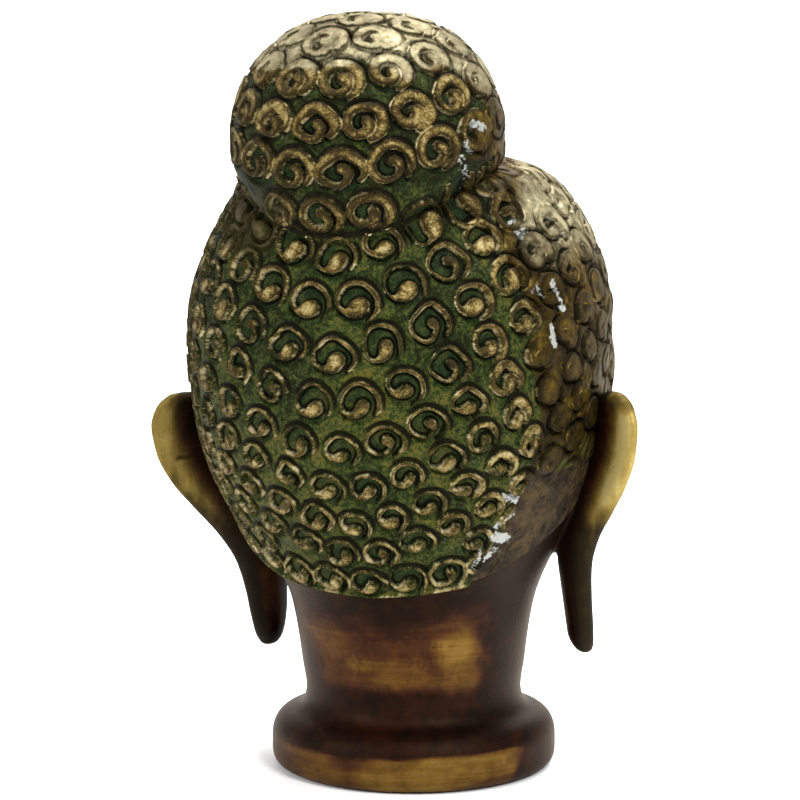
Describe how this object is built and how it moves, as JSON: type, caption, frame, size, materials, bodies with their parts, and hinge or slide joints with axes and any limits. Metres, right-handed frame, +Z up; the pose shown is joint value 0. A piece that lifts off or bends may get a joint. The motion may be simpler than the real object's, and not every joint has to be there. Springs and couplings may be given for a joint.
{
  "type": "bronze buddha head",
  "caption": "Cast bronze buddha head on a short neck and round foot, with coiled curls of hair, a domed topknot and long ears.",
  "frame": {"origin": "centre of the flat underside of the foot", "axes": "+Z up through the neck and head, -Y the way the face looks, +X towards the head's own left ear"},
  "size_m": [0.1639, 0.1635, 0.2498],
  "materials": {
    "bronze": "dark brown and green patina, rubbed to gold on the high places"
  },
  "bodies": {
    "root": {"head": "bronze"}
  },
  "joints": []
}
